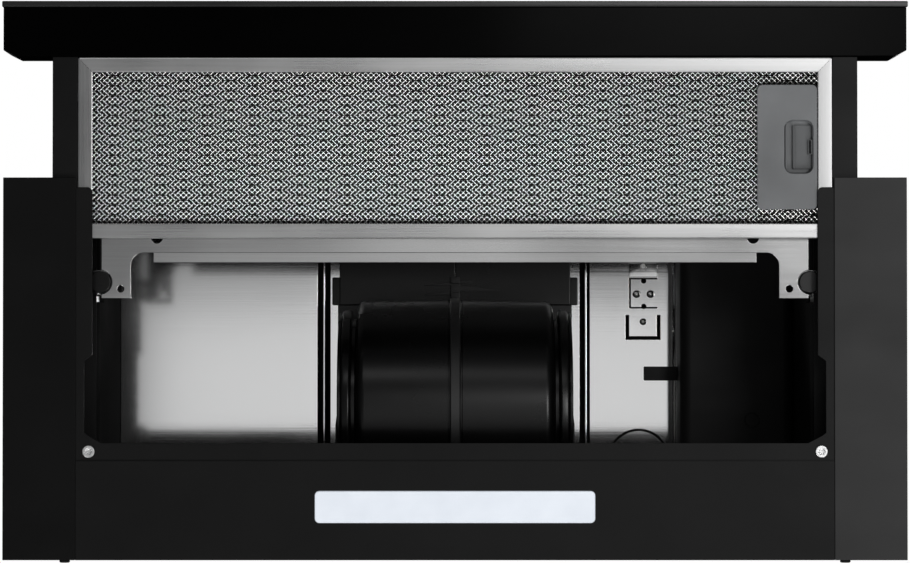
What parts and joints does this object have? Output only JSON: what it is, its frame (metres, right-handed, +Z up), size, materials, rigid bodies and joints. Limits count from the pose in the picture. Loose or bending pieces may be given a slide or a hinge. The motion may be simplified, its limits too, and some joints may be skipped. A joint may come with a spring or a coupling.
{
  "type": "telescopic cooker hood",
  "caption": "Flat slide-out cooker hood for a wall cabinet, with a pull-out visor and mesh filter, blower, lamp, push buttons and a round duct collar with flaps.",
  "frame": {"origin": "middle of the lower edge of the rear face, which goes against the wall", "axes": "+X across the hood, -Y towards the front and the visor, +Z up to the duct collar"},
  "size_m": [0.6, 0.372, 0.238],
  "materials": {
    "black_steel": "satin black enamel",
    "black_glass_strip": "gloss black",
    "galvanised": "plain zinc-coated sheet",
    "bare_steel": "bare sheet",
    "zinc_hardware": "bright zinc plating",
    "filter_aluminium": "satin",
    "filter_mesh": "expanded mesh, bright strands",
    "grey_plastic": "fine matt",
    "black_plastic": "moulded, slight sheen",
    "diffuser": "frosted, lit from behind",
    "white_plastic": "matt",
    "circuit_board": "lacquered board",
    "black_rubber": "matt",
    "motor_steel": "plain"
  },
  "bodies": {
    "hood": {"base_deck": "black_steel", "casing": "galvanised", "side_cover_left": "black_steel", "side_cover_right": "black_steel", "bottom_frame": "black_steel", "frame_posts": "black_steel", "frame_screws": "zinc_hardware", "lamp_panel": "black_steel", "lamp_diffuser": "diffuser", "lamp_tray": "white_plastic", "led_board": "circuit_board", "crossbar": "bare_steel", "roller_brackets": "bare_steel", "roller_pins": "zinc_hardware", "rear_bumpers": "black_rubber", "damping_mats": "black_rubber", "ceiling_plate_left": "galvanised", "blower_plate": "galvanised", "ceiling_dividers": "galvanised", "terminal_plate": "galvanised", "electronics_cover": "black_plastic", "control_board": "circuit_board", "capacitor": "white_plastic", "slide_channel_left": "zinc_hardware", "slide_channel_right": "zinc_hardware", "scroll_left": "black_plastic", "scroll_right": "black_plastic", "scroll_seam": "black_plastic", "inlet_rings": "black_plastic", "motor_body": "motor_steel", "motor_bracket": "motor_steel", "duct_collar": "black_plastic", "flap_axle": "zinc_hardware", "cable_grommet": "black_rubber", "mounting_brackets": "galvanised"},
    "visor": {"front_bar": "black_steel", "front_fascia": "black_glass_strip", "button_board": "circuit_board", "visor_rail_left": "black_steel", "visor_rail_right": "black_steel", "slide_runners": "zinc_hardware", "visor_top": "black_steel", "filter_frame": "filter_aluminium", "filter_mesh": "filter_mesh", "filter_tabs": "zinc_hardware", "latch_plate": "grey_plastic"},
    "latch": {"latch_slider": "grey_plastic"},
    "impeller": {"impeller": "black_plastic", "motor_shaft": "motor_steel"},
    "flap_front": {"damper_flap_front": "filter_aluminium"},
    "flap_rear": {"damper_flap_rear": "filter_aluminium"},
    "roller_left": {"guide_roller_left": "black_plastic"},
    "roller_right": {"guide_roller_right": "black_plastic"},
    "cage_left": {"ball_cage_left": "zinc_hardware"},
    "cage_right": {"ball_cage_right": "zinc_hardware"},
    "key_1": {"button_1": "black_plastic"},
    "key_2": {"button_2": "black_plastic"},
    "key_3": {"button_3": "black_plastic"},
    "key_4": {"button_4": "black_plastic"},
    "key_5": {"button_5": "black_plastic"}
  },
  "joints": [
    {"name": "visor_slide", "type": "slide", "parent": "hood", "child": "visor", "axis": [0, -1, 0], "range_m": [-0.08, 0]},
    {"name": "filter_latch", "type": "slide", "parent": "visor", "child": "latch", "axis": [-1, 0, 0], "range_m": [0, 0.0035], "stiffness_N_per_m": 400, "springref_m": -0.002},
    {"name": "impeller_spin", "type": "hinge", "parent": "hood", "child": "impeller", "pos_m": [0, -0.098, 0.1], "axis": [1, 0, 0], "continuous": true},
    {"name": "damper_front", "type": "hinge", "parent": "hood", "child": "flap_front", "pos_m": [0, -0.1265, 0.212], "axis": [-1, 0, 0], "range_deg": [0, 70]},
    {"name": "damper_rear", "type": "hinge", "parent": "hood", "child": "flap_rear", "pos_m": [0, -0.1265, 0.212], "axis": [1, 0, 0], "range_deg": [0, 70]},
    {"name": "roller_left_spin", "type": "hinge", "parent": "hood", "child": "roller_left", "pos_m": [-0.2362, -0.184, 0.017], "axis": [0, 0, -1], "range_deg": [0, 625]},
    {"name": "roller_right_spin", "type": "hinge", "parent": "hood", "child": "roller_right", "pos_m": [0.2362, -0.184, 0.017], "axis": [0, 0, 1], "range_deg": [0, 625]},
    {"name": "ball_cage_left_slide", "type": "slide", "parent": "hood", "child": "cage_left", "axis": [0, -1, 0], "range_m": [-0.041, 0.001]},
    {"name": "ball_cage_right_slide", "type": "slide", "parent": "hood", "child": "cage_right", "axis": [0, -1, 0], "range_m": [-0.041, 0.001]},
    {"name": "button_1_press", "type": "slide", "parent": "visor", "child": "key_1", "axis": [0, 1, 0], "range_m": [0, 0.0012], "stiffness_N_per_m": 500, "springref_m": -0.001},
    {"name": "button_2_press", "type": "slide", "parent": "visor", "child": "key_2", "axis": [0, 1, 0], "range_m": [0, 0.0012], "stiffness_N_per_m": 500, "springref_m": -0.001},
    {"name": "button_3_press", "type": "slide", "parent": "visor", "child": "key_3", "axis": [0, 1, 0], "range_m": [0, 0.0012], "stiffness_N_per_m": 500, "springref_m": -0.001},
    {"name": "button_4_press", "type": "slide", "parent": "visor", "child": "key_4", "axis": [0, 1, 0], "range_m": [0, 0.0012], "stiffness_N_per_m": 500, "springref_m": -0.001},
    {"name": "button_5_press", "type": "slide", "parent": "visor", "child": "key_5", "axis": [0, 1, 0], "range_m": [0, 0.0012], "stiffness_N_per_m": 500, "springref_m": -0.001}
  ],
  "couplings": [
    {"joint": "roller_left_spin", "follows": "visor_slide", "rad_per_m": -135.13},
    {"joint": "roller_right_spin", "follows": "visor_slide", "rad_per_m": -135.13},
    {"joint": "ball_cage_left_slide", "follows": "visor_slide", "ratio": 0.5},
    {"joint": "ball_cage_right_slide", "follows": "visor_slide", "ratio": 0.5}
  ]
}
